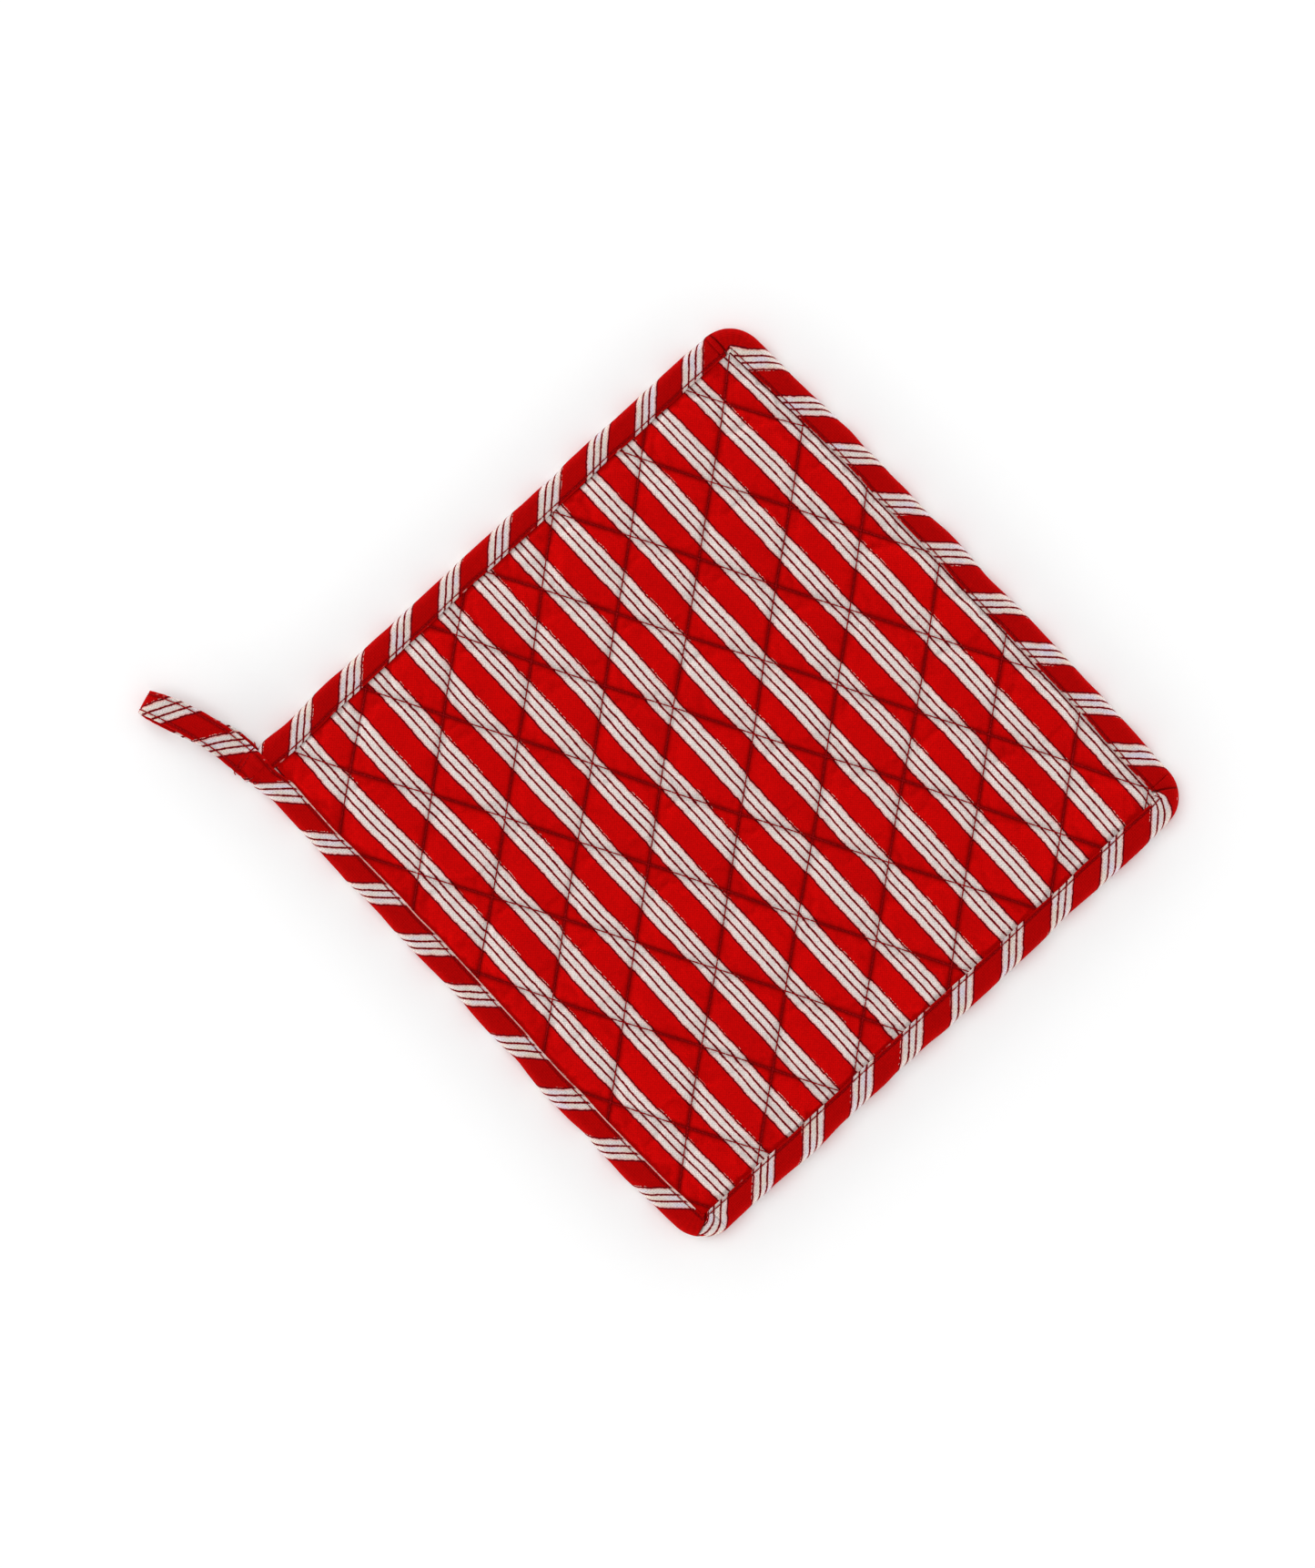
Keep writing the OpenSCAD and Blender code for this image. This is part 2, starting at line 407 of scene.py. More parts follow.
def printed_cotton(name, look, strip=False):
    """Block-printed cotton: a quilted face, or a strip that turns round mitres."""
    g = material_graph(name, roughness=0.85, specular=0.03, sheen=0.0)
    u, v, selector = g.attribute("print")
    if strip:
        other_u, other_v, _ = g.attribute("print_next")
        beyond = selector.above(0.0)
        u = u + (other_u - u) * beyond
        v = v + (other_v - v) * beyond
    colour, pale, x = block_print(g, u, v, look)
    height = weave(g, x, v)
    fibre = g.noise(x * 2.2, v * 2.2, 4.0, 2.0) * pale
    # painted shade in the weave's hollows, from its height; the fibre noise is the pale cloth's own uneven
    # tone
    colour = g.shade(colour, height * 0.26 + fibre * 0.75 + 0.87)
    colour = worn_and_shaded_folds(g, colour, pale, x, v) if strip else painted_seam_shade(g, colour, pale)
    return g.finish(colour, height, WEAVE_DEPTH)


def sewing_thread(name):
    """Dark red polyester thread, two plies twisted."""
    g = material_graph(name, roughness=0.7, specular=0.05, sheen=0.0)
    along, round_, _ = g.attribute("twist")
    ply = (along * 7.0 + round_ * (2 * math.pi)).sine() * 0.5 + 0.5
    # painted shade in the grooves between the plies; the noise is the thread's own uneven tone
    colour = g.shade(THREAD, ply * 0.5 + 0.65 + g.noise(along * 0.4, round_, 3.0) * 0.4)
    return g.finish(colour, ply, 0.05)


def fibre_pad(name, colour, darker, clump):
    """Felted or carded fibre."""
    g = material_graph(name, roughness=0.95, specular=0.05, sheen=0.15)
    x, y, z = g.position()
    cloud = g.noise(x * clump, y * clump, z * clump, 4.0)
    strand = g.noise(x * 3.0, y * 0.5, z, 3.0) + g.noise(x * 0.5, y * 3.0, z, 3.0)
    amount = (cloud * 1.6 + strand * 0.8 + 0.4).clamp()
    return g.finish(g.mix(amount, colour, darker), cloud + strand, 0.3)


def floor_paper():
    """The pale matte floor."""
    g = material_graph("pale_floor", roughness=0.9, specular=0.0, sheen=0.0)
    x, y, z = g.position()
    tone = g.noise(x * 0.02, y * 0.02, z, 2.0) * 0.01 + 1.0
    return g.finish(g.shade(srgb(253, 253, 253), tone), tone, 0.01)


# ---- quilting

# Each line is given by its distance from the pad's middle.
STEEP = {
    "angle": -61.0,
    "lines": [-145, -121.8, -99.8, -76, -53, -30, -6.8, 16.8, 37.9, 60.6, 84.2, 109, 132],
    "seed": 0.4,
}
SHALLOW = {
    "angle": 38.0,
    "lines": [-149, -125.8, -102.4, -77.2, -54.2, -30.2, -8.2, 16.1, 37.6, 60.4, 82.9, 107, 130],
    "seed": 2.1,
}


def line_frame(family):
    """Unit vectors along and across a family of quilting lines."""
    a = math.radians(family["angle"])
    return np.array([math.cos(a), math.sin(a)]), np.array([-math.sin(a), math.cos(a)])


def seam_offset(family, k, along):
    """Where seam k runs, across its family: nearly straight, as a hand-guided seam is."""
    phase = family["seed"] + 1.7 * k
    slow = 0.32 * np.sin(along / 29 + phase)
    quick = 0.16 * np.sin(along / 11 + 2.3 * phase)
    return family["lines"][k] + slow + quick


def seam_position(family, x, y):
    """Strip coordinate, which is a whole number on each seam, and the distance to the nearest seam."""
    t, n = line_frame(family)
    along, across = x * t[0] + y * t[1], x * n[0] + y * n[1]
    seams = [seam_offset(family, k, along) for k in range(len(family["lines"]))]
    strip = sum(np.clip((across - a) / (b - a), 0, 1) for a, b in zip(seams, seams[1:]))
    return strip, np.min([np.abs(across - s) for s in seams], axis=0)


def inset(x, y):
    """Distance inwards from the pad's outline."""
    qx, qy = np.abs(x) - (HALF - CORNER_R), np.abs(y) - (HALF - CORNER_R)
    rounded = CORNER_R - np.hypot(np.maximum(qx, 0), np.maximum(qy, 0))
    return np.where((qx > 0) & (qy > 0), rounded, np.minimum(CORNER_R - qx, CORNER_R - qy))


def cell_value(first, second, seed, soft=0.1):
    """A number from -1 to 1 for each diamond, changing quickly across the seams between them."""
    table = np.random.default_rng(seed).uniform(-1, 1, (16, 16))
    i, j = np.floor(first - 0.5).astype(int), np.floor(second - 0.5).astype(int)
    f = smoothstep((first - 0.5 - i - 0.5) / soft + 0.5)
    g = smoothstep((second - 0.5 - j - 0.5) / soft + 0.5)
    return blended(table, i, j, f, g)


# ---- the quilted relief

SEAM_Z = 6.4  # height of the front seams over the middle
BACK_SEAM_Z = 1.35
SEAM_RISE = 14  # how far from the binding the seams reach those heights
CHANNEL_HALF = ROLL - BINDING_T  # half of the layers' thickness inside the binding
PUFF = CROWN_Z - SEAM_Z
SIM_STEP = 1.6
SIM_FRAMES = 22
SIM_SCALE = 0.02  # the simulated cloth is 20 times life size, where the solver is steady
SIM_LIFT = 7.0  # gravity turned upwards, for the wadding's push
SIM_CLOTH = {
    "quality": 5,
    "mass": 0.25,
    "tension_stiffness": 18,
    "compression_stiffness": 18,
    "shear_stiffness": 8,
    "bending_stiffness": 0.3,
    "air_damping": 3,
    "shrink_min": -0.045,
}


def seam_height(b):
    """Height of the front seams: low under the binding, higher over the middle."""
    edge = EDGE_Z + CHANNEL_HALF - 0.1
    return edge + (SEAM_Z - edge) * smoothstep((b - BINDING_W) / SEAM_RISE)


def seam_distance(x, y):
    """The distance to the nearest seam of either family."""
    return np.minimum(seam_position(STEEP, x, y)[1], seam_position(SHALLOW, x, y)[1])


def slack_cloth(points, count, held):
    """A square of cloth for the simulation, held along its seams."""
    mesh = bpy.data.meshes.new("sim_cloth")
    mesh.from_pydata(points.tolist(), [], grid_quads(count, count).tolist())
    cloth = new_object("sim_cloth", mesh)
    cloth.vertex_groups.new(name="held").add(np.flatnonzero(held).tolist(), 1.0, "REPLACE")
    modifier = cloth.modifiers.new("Cloth", "CLOTH")
    for name, value in SIM_CLOTH.items():
        setattr(modifier.settings, name, value)
    modifier.settings.vertex_group_mass = "held"
    modifier.collision_settings.use_collision = False
    return cloth


def blown_up(cloth):
    """Runs the simulation, removes the cloth and returns where its points came to lie."""
    scene = bpy.context.scene
    gravity = scene.gravity.copy()
    scene.gravity = (0, 0, SIM_LIFT)
    for number in range(1, SIM_FRAMES + 1):
        scene.frame_set(number)
    result = cloth.evaluated_get(bpy.context.evaluated_depsgraph_get())
    moved = np.zeros(3 * len(cloth.data.vertices), np.float32)
    result.data.vertices.foreach_get("co", moved)
    scene.frame_set(1)
    scene.gravity = gravity
    mesh = cloth.data
    bpy.data.objects.remove(cloth)
    bpy.data.meshes.remove(mesh)
    return moved.astype(float)


def simulated_puffs(line):
    """How far a square grid of cloth moves in x, y and z as the wadding pushes it up between its seams."""
    count = len(line)
    x, y = np.meshgrid(line, line)
    d = seam_distance(x, y)
    b = inset(x, y)
    held = (d < 0.55 * SIM_STEP) | (b < BINDING_W + 0.3)
    base = seam_height(b)
    start = base + ~held * (0.6 * (1 - np.exp(-d / 3)) + 0.15 * value_noise(x, y, 4.0, 5))
    points = np.stack([x, y, start], -1).reshape(-1, 3) * SIM_SCALE
    moved = blown_up(slack_cloth(points, count, held)).reshape(count, count, 3) / SIM_SCALE
    return moved[..., 0] - x, moved[..., 1] - y, np.maximum(moved[..., 2] - base, 0)


def catmull_rom(t):
    """The weight of a grid point t steps away."""
    t = np.abs(t)
    near = 1.5 * t**3 - 2.5 * t**2 + 1
    far = 2 - 4 * t + 2.5 * t**2 - 0.5 * t**3
    return np.where(t < 1, near, np.where(t < 2, far, 0))


def interpolate(line, field, x, y):
    """A square grid's value at any points."""
    last = len(line) - 1
    gx, gy = ((np.clip(v, line[0], line[-1]) - line[0]) / (line[1] - line[0]) for v in (x, y))
    ix, iy = np.floor(gx).astype(int), np.floor(gy).astype(int)
    total = 0
    for i in range(-1, 3):
        for j in range(-1, 3):
            weight = catmull_rom(gx - ix - i) * catmull_rom(gy - iy - j)
            total = total + weight * field[np.clip(iy + j, 0, last), np.clip(ix + i, 0, last)]
    return total


SIM_LINE = np.linspace(-HALF, HALF, int(2 * HALF / SIM_STEP) + 1)
PUFFS = simulated_puffs(SIM_LINE)


def relief(x, y):
    """Sideways shift and lift of the cloth over its seams, sharp at each seam."""
    d = seam_distance(x, y)
    sharp = (1 - 0.9 * bump(d, 1.1)) * smoothstep((inset(x, y) - BINDING_W + 0.2) / 1.6)
    dx, dy, lift = (interpolate(SIM_LINE, field, x, y) * sharp for field in PUFFS)
    return 0.5 * dx, 0.5 * dy, np.maximum(lift, 0)


def front_height(x, y):
    """The face, with puffs of at most 1.1 times the height that the CAD gives them."""
    most = PUFF * 1.1
    return seam_height(inset(x, y)) + most * np.tanh(relief(x, y)[2] / most)


def back_height(x, y):
    """The back: the same seams, with puffs pressed flat where the pad lies on a table."""
    b = inset(x, y)
    edge = EDGE_Z - CHANNEL_HALF + 0.1
    seam = edge + (BACK_SEAM_Z - edge) * smoothstep((b - BINDING_W) / SEAM_RISE)
    low = seam - 0.8 * relief(x, y)[2]
    return 0.5 * (low + np.sqrt(low**2 + 0.02))


def rounded_grid(half, step):
    """A square grid of points whose corners are rounded about the pad's own corner centres."""
    count = int(2 * half / step) + 1
    line = np.linspace(-half, half, count)
    x, y = np.meshgrid(line, line)
    centre = HALF - CORNER_R
    px, py = np.maximum(np.abs(x) - centre, 0), np.maximum(np.abs(y) - centre, 0)
    pull = np.where((px > 0) & (py > 0), np.maximum(px, py) / np.maximum(np.hypot(px, py), 1e-9), 1)
    x = np.sign(x) * (np.minimum(np.abs(x), centre) + px * pull)
    y = np.sign(y) * (np.minimum(np.abs(y), centre) + py * pull)
    return count, x, y


FACE_STRIPE_AT = 4.3
CLOTH_HALF = LAYER_HALF - 1.4
WADDING_HALF = LAYER_HALF - 0.6
FLEECE_HALF = LAYER_HALF - 0.2
LAYER_STEP = 2.0
LAYER_GAP = 0.05


def face_cloth(name, height, step, material, seed):
    """A printed cloth face, quilted: one sheet, with its edges inside the binding."""
    count, x, y = rounded_grid(CLOTH_HALF, step)
    dx, dy, _ = relief(x, y)
    first, second = seam_position(STEEP, x, y)[0], seam_position(SHALLOW, x, y)[0]
    pull = 0.36 * cell_value(first, second, seed) + 0.15 * value_noise(x, y, 21, seed)
    printed = np.stack([(x + pull - FACE_STRIPE_AT) / STRIPE_PITCH, y, 0 * x], -1)
    points = np.stack([x + dx, y + dy, height(x, y)], -1)
    seams = np.stack([first, second, inset(x, y)], -1)
    faces = grid_quads(count, count)
    if height is back_height:
        faces = faces[:, ::-1]
    return mesh_piece(name, points, faces, material, print=printed, seams=seams)


def fleece_limits(x, y):
    """The fleece's underside and top."""
    low, high = (0.08 * value_noise(x, y, 5, seed) for seed in (51, 52))
    return float(BARRIER_LOW[2]) + low, float(BARRIER_HIGH[2]) + high


def upper_limits(x, y):
    return fleece_limits(x, y)[1] + LAYER_GAP, np.maximum(front_height(x, y) - 1.0, 4.2)


def lower_limits(x, y):
    return np.minimum(back_height(x, y) + 0.7, 2.8), fleece_limits(x, y)[0] - LAYER_GAP


def layer(name, limits, half, material):
    """A closed layer of padding between the two surfaces that limits gives."""
    count, x, y = rounded_grid(half, LAYER_STEP)
    bottom, top = (np.stack([x, y, z], -1) for z in limits(x, y))
    quads = grid_quads(count, count)
    index = np.arange(count * count).reshape(count, count)
    rim = np.concatenate([index[0, :-1], index[:-1, -1], index[-1, :0:-1], index[:0:-1, 0]])
    after, under = np.roll(rim, -1), count * count
    walls = np.stack([rim, after, after + under, rim + under], -1)
    faces = [*quads, *(quads[:, ::-1] + under), *walls[:, ::-1]]
    points = np.concatenate([top.reshape(-1, 3), bottom.reshape(-1, 3)])
    return mesh_piece(name, points, faces, material, closed=True)


# ---- the binding

FABRIC_HALF = ROLL * math.pi / 2 + BINDING_W - ROLL  # half of the strip's visible width, round the roll
FOLD_R = 0.45  # radius of the strip's inner fold
STITCH_IN = 1.0  # from the strip's inner fold to its row of stitches
STRIP_START = -94.5
STRIP_END = 99.4
STRAIGHT = HALF - CORNER_R
ARC = CORNER_R * math.pi / 2
SIDE_SHIFT = 37.0  # keeps the print of two sides from looking alike
STRIPE_ACROSS = 5.4  # how far over the strip the first stripe's place is given
# turn: quarter turns clockwise; from, to: along the side; stripe: the middle of its first bundle
SIDES = [
    {"turn": 0, "from": STRIP_START, "to": STRAIGHT, "stripe": -78.9, "pitch": 19.9, "wear": 0.1},
    {"turn": 1, "from": -STRAIGHT, "to": STRAIGHT, "stripe": -84.3, "pitch": 20.4, "wear": 0.2},
    {"turn": 2, "from": -STRAIGHT, "to": STRAIGHT, "stripe": -90.0, "pitch": 20.0, "wear": 0.1},
    {"turn": 3, "from": -STRAIGHT, "to": STRIP_END, "stripe": -80.3, "pitch": 20.7, "wear": 0.9},
]
# outer, inner: degrees round the corner at which the fold starts and ends; before, after: cloth taken up
MITRES = [
    {"outer": 9, "inner": 29, "before": 7.2, "after": 3.0},
    {"outer": 28, "inner": 19, "before": 7.2, "after": 7.2},
    {"outer": 53, "inner": 30, "before": 7.2, "after": 3.0},
]


def outline(length):
    """The binding's outer edge, clockwise from the loop's corner, at each distance along it.

    point, inwards: the place, and the direction into the pad; y: its Y, on the side with the loop.
    side, along: the side and the place along it; next_side, along_next: those a corner turns into.
    turned, mitre_outer, mitre_inner: the angle gone round a corner, and those of its mitre.
    after_mitre: 1 on the first half of a side, -1 on the second."""
    shape = np.shape(length)
    numbers = ("along", "along_next", "turned", "mitre_outer", "mitre_inner", "after_mitre")
    out = {key: np.zeros(shape) for key in numbers}
    out |= {key: np.zeros(shape + (2,)) for key in ("point", "inwards")}
    out |= {key: np.zeros(shape, int) for key in ("side", "next_side")}

    def put(here, **values):
        for key, value in values.items():
            out[key][here] = value

    start = 0.0
    for k, side in enumerate(SIDES):
        angle = -side["turn"] * math.pi / 2
        forwards = np.array([math.cos(angle), math.sin(angle)])
        inwards = np.array([math.sin(angle), -math.cos(angle)])
        span = side["to"] - side["from"]
        last = k == len(SIDES) - 1
        here = (length >= start) & ((length < start + span) | last)
        along = side["from"] + length[here] - start
        put(here, point=along[:, None] * forwards - HALF * inwards, inwards=inwards, side=k, next_side=k,
            along=along, along_next=along, after_mitre=np.where(along < 0, 1, -1))
        start += span
        if last:
            break
        here = (length >= start) & (length < start + ARC)
        turned = (length[here] - start) / CORNER_R
        centre = STRAIGHT * forwards - STRAIGHT * inwards
        away = -inwards * np.cos(turned)[:, None] + forwards * np.sin(turned)[:, None]
        mitre = MITRES[k]
        put(here, point=centre + CORNER_R * away, inwards=-away, side=k, next_side=k + 1, turned=turned,
            along=STRAIGHT + turned * mitre["before"],
            along_next=-STRAIGHT - (math.pi / 2 - turned) * mitre["after"],
            mitre_outer=math.radians(mitre["outer"]), mitre_inner=math.radians(mitre["inner"]))
        start += ARC
    on_last = (out["side"] == len(SIDES) - 1) & (out["turned"] == 0)
    out["y"] = np.where(on_last, out["point"][..., 1], -HALF)
    return out


STRIP_LENGTH = sum(s["to"] - s["from"] for s in SIDES) + 3 * ARC


def pressed(y, w):
    """How far the tape has gone from a full roll round the pad's edge (0) to a pressed flat tape (1)."""
    return smoothstep((y - 93 - 5 * smoothstep(w / 8)) / 6.5)


def tape_half(y, w):
    """Half the height of the bound edge, which steps up over the strip's first end by the loop."""
    over = smoothstep((y - 90.5) / 2.5) * (1 - smoothstep((y - 98.2) / 2.5)) * smoothstep((w - 5) / 2.5)
    return ROLL - 0.5 * ROLL * pressed(y, w) + 0.7 * over


def mitre_distance(o, w, reach):
    """How far a point lies beyond the fold of the nearest mitre, w in from the outer edge."""
    fold = (o["mitre_inner"] - o["mitre_outer"]) * np.clip(w / 8, 0, 1)
    beyond = (o["turned"] - o["mitre_outer"] - fold) * np.maximum(reach, 3.2)
    return np.where(o["turned"] > 0, beyond, 9.0 * o["after_mitre"])


def strip_relief(length, s, edge, mitre):
    """The strip's small rises: its stitched dent, rounded fold, swell, puckers, creases and mitres."""
    face = np.where(s < 0, 7, 3)
    fold = np.sqrt(FOLD_R**2 - np.clip(FOLD_R - edge, 0, FOLD_R) ** 2)
    height = -0.42 * bump(edge - STITCH_IN, 0.45) - FOLD_R + fold
    height += 0.14 * np.sin(math.pi * np.clip((edge - 1.3) / 4.5, 0, 1))
    height += 0.05 * np.cos(2 * math.pi * length / 2.4) * bump(edge - STITCH_IN, 0.9)
    height += 0.13 * value_noise((length + s) / 1.6, (length - s) / 5.0, 1.0, 11) * smoothstep(edge / 2)
    height += 0.12 * value_noise(length, s + face, 6.0, 12)
    height += -0.6 * bump(mitre, 0.35) + 0.35 * np.exp(-np.abs(mitre) / 3.0) * (mitre > 0)
    return height


def strip_wander(length, s, w, y):
    """How far the hand-guided strip stands out of line, and how it spreads towards the loop."""
    wave = 0.42 * value_noise(length, 0 * s, 15.0, 21) + 0.18 * value_noise(length, 0 * s, 6.0, 22)
    fold_wave = 0.25 * value_noise(length, 9 + 0 * s, 9.0, 23)
    root = 1.2 * smoothstep((y - 84) / 8) + 1.0 * smoothstep((y - 95) / 5)
    return wave * (1 - w / BINDING_W) + fold_wave * w / BINDING_W + root


def strip_surface(length, s):
    """Points of the binding's outer surface, s of cloth from its outermost line: above 0 on the front.

    Also returns the outline there, and the distances to the inner fold and to the mitre."""
    length, s = np.broadcast_arrays(np.asarray(length, float), np.asarray(s, float))
    o = outline(length)
    y = o["y"]
    radius = ROLL - 0.5 * ROLL * pressed(y, 0)
    theta = np.abs(s) / radius
    on_roll = theta < math.pi / 2
    w = np.where(on_roll, radius * (1 - np.cos(theta)), radius + np.abs(s) - radius * math.pi / 2)
    up = np.where(on_roll, np.sin(theta), 1.0)
    edge = FABRIC_HALF - np.abs(s)
    reach = np.maximum(CORNER_R - w, 0)
    square = smoothstep((w - 3) / 5)
    corner = np.maximum(np.cos(o["turned"]), np.sin(o["turned"]))
    mitre = mitre_distance(o, w, reach)
    height = strip_relief(length, s, edge, mitre)
    out = strip_wander(length, s, w, y)
    start = np.clip(1 - length / 3, 0, 1) * 3.1 * np.exp(-w / 1.6)
    xy = o["point"] + o["inwards"] * (w - out - reach * square * (1 / corner - 1))[..., None]
    xy[..., 0] += start
    half = tape_half(y, w) * up + height * np.where(on_roll, np.maximum(up, 0.3), 1.0)
    z = np.maximum(EDGE_Z + np.where(s < 0, -1, 1) * half, 0.02)
    return np.concatenate([xy, z[..., None]], -1), o, edge, mitre


def strip_print(o, s):
    """The two print coordinates of the binding: the side it is on, and the side it turns into."""

    def coordinate(a, which):
        first = np.array([side["stripe"] for side in SIDES])[which]
        pitch = np.array([side["pitch"] for side in SIDES])[which]
        return (a + s - first - STRIPE_ACROSS) / pitch, (a - s) / math.sqrt(2) + SIDE_SHIFT * which

    return coordinate(o["along"], o["side"]), coordinate(o["along_next"], o["next_side"])


def strip_stations():
    """Distances along the strip at which it gets a ring of points, closer together round the corners."""
    places, at = [], 0.0
    for side in SIDES:
        span = side["to"] - side["from"]
        places.append(np.arange(at, at + span, 0.85))
        places.append(np.linspace(at + span, at + span + ARC, 52)[:-1])
        at += span + ARC
    places = np.concatenate(places)
    return np.append(places[places < STRIP_LENGTH], STRIP_LENGTH)


def strip_lining(length):
    """The inner surface of the folded strip, from the front fold round to the back one."""
    end = strip_surface(length, FABRIC_HALF * np.ones((1, 1)))[0]
    along_edge = outline(np.broadcast_to(length, (len(length), 1)))
    back_in = np.append(0.35, np.linspace(1.7, BINDING_W - 1.6, 7))[None, :]
    y = along_edge["y"]
    half = np.maximum(tape_half(y, BINDING_W - back_in) - BINDING_T, 0.05)
    xy = end[:, :, :2] - along_edge["inwards"] * back_in[..., None]
    front = np.concatenate([xy, (EDGE_Z + half)[..., None]], -1)
    rear = np.concatenate([xy, (EDGE_Z - half)[..., None]], -1)[:, ::-1]
    return [front, rear]


def swept_faces(rows, cols):
    """The sides and the two ends of a closed sweep of rows rings."""
    ring = np.arange(cols)
    return [*grid_quads(rows, cols, wrap=True), ring[::-1], ring + (rows - 1) * cols]


def binding(material):
    """The bias strip that wraps the edge, sewn down on both faces, as one swept piece."""
    length = strip_stations()[:, None]
    s = np.linspace(-FABRIC_HALF, FABRIC_HALF, 57)[None, :]
    outer, o, edge, mitre = strip_surface(length, s)
    ring = np.concatenate([outer, *strip_lining(length)], 1)
    rows, cols = ring.shape[:2]
    spare = cols - s.shape[1]

    def whole_ring(*values):
        """An attribute's three numbers, with the lining given those of the strip's last point."""
        return np.stack([np.concatenate([v, np.repeat(v[:, -1:], spare, 1)], 1) for v in values], -1)

    (u, v), (next_u, next_v) = strip_print(o, np.broadcast_to(s, edge.shape))
    loop_corner = np.hypot(o["point"][..., 0] + HALF, o["point"][..., 1] - HALF)
    wear = np.where(s > 0, np.array([side["wear"] for side in SIDES])[o["side"]], 0.0)
    wear = wear * smoothstep((loop_corner - 12) / 8)
    return mesh_piece("binding_strip", ring, swept_faces(rows, cols), material, closed=True,
                      print=whole_ring(u, v, mitre), print_next=whole_ring(next_u, next_v, 0 * next_u),
                      folds=whole_ring(edge, mitre, wear))


# ---- the hanging loop

TAPE_T = 1.24
TAPE_HALF = 4.5
TAPE_STITCH_IN = 1.35
LOOP_STRIPE = 86.9
LOOP_PITCH = 20.2
# Along the loop from its joint, sideways, height, and half of the tape's width there.
LOOP_ROUTE = [
    (-5.5, -2.4, 4.22, 4.55),
    (-2.8, -1.5, 4.22, 4.6),
    (0, -1.0, 4.22, 4.65),
    (8, 0.35, 4.85, 4.6),
    (16, 0.85, 5.9, 4.55),
    (24, 0.8, 7.1, 4.4),
    (29.5, 0.35, 7.75, 4.1),
    (32.9, -0.1, 6.9, 3.85),
    (34.0, -0.4, 4.6, 3.8),
    (32.9, -0.7, 2.0, 3.85),
    (29.5, -0.75, 0.85, 4.05),
    (24, -0.4, 0.85, 4.25),
    (16, 0.3, 1.3, 4.4),
    (8, 1.2, 1.95, 4.4),
    (1, 0.2, 2.5, 4.4),
    (-1.6, -0.6, 2.58, 4.4),
]


def spline(points, per_span):
    """A Catmull-Rom curve through points, per_span steps to each pair."""
    p = np.array(points, float)
    p = np.concatenate([2 * p[:1] - p[1:2], p, 2 * p[-1:] - p[-2:-1]])
    t = np.linspace(0, 1, per_span, endpoint=False)[:, None]
    spans = [sum(catmull_rom(t + 1 - k) * p[n + k] for k in range(4)) for n in range(len(p) - 3)]
    return np.concatenate([*spans, p[-2:-1]])


def loop_path():
    """The tape's centreline from the pad, over the tip and back.

    Returns points, lateral and outward directions, half widths and the distance along the tape, which
    starts from the Y coordinate of its first point."""
    route = spline(LOOP_ROUTE, 12)
    along, side, z, half = route.T
    points = ROOT[None] + along[:, None] * LOOP_DIR + side[:, None] * LOOP_AXIS
    points[:, 2] = z
    tangent = np.gradient(points, axis=0)
    tangent /= np.linalg.norm(tangent, axis=1)[:, None]
    lateral = LOOP_AXIS - (tangent @ LOOP_AXIS)[:, None] * tangent
    lateral /= np.linalg.norm(lateral, axis=1)[:, None]
    steps = np.linalg.norm(np.diff(points, axis=0), axis=1)
    at = points[0, 1] + np.append(0, np.cumsum(steps))
    return points, lateral, np.cross(lateral, tangent), half, at


LOOP_POINTS, LOOP_LATERAL, LOOP_OUT, LOOP_HALF, LOOP_AT = loop_path()
LOOP_RISE = np.arange(len(LOOP_AT)) < len(LOOP_AT) // 2


def loop_lift(place, w, upper):
    """The tape's step down from the bound edge to the free loop."""
    lift = tape_half(place[..., 1], w) - 0.5 * ROLL
    return np.where(upper & (place[..., 1] < 108), np.maximum(lift, 0), 0)


def loop_surface(p, up):
    """Points at lateral place p (-1 to 1) of every station, up above the tape's middle."""
    p, up = np.broadcast_arrays(p, up)
    side = LOOP_HALF[:, None] * p
    place = LOOP_POINTS[:, None] + LOOP_LATERAL[:, None] * side[..., None]
    at = LOOP_AT[:, None]
    sag = 0.12 * value_noise(at, side, 5.0, 31) + 0.25 * value_noise(at, 0 * side, 9.0, 32)
    place = place + LOOP_OUT[:, None] * (up + sag * smoothstep((at - 103) / 5))[..., None]
    place[..., 2] += loop_lift(place, side + LOOP_HALF[:, None], LOOP_RISE[:, None])
    return place


def tape_section():
    """The pressed tape's section: lateral place from -1 to 1, and height over its middle, once round."""
    flat = np.linspace(-0.9, 0.9, 25)
    arc = np.linspace(0, math.pi, 9)[1:-1]
    row = (1 - np.abs(flat)) * TAPE_HALF
    top = TAPE_T / 2 - 0.24 * bump(row - TAPE_STITCH_IN, 0.4) + 0.05 * bump(flat, 0.5)
    fold = 0.9 + 0.1 * np.sin(arc)
    notch = 1 - 0.07 * bump(arc - math.pi / 2, 0.3)
    across = np.concatenate([flat, fold * notch, flat[::-1], -fold])
    up = np.concatenate([top, TAPE_T / 2 * np.cos(arc), -top[::-1], -TAPE_T / 2 * np.cos(arc)])
    return across[None], up[None]


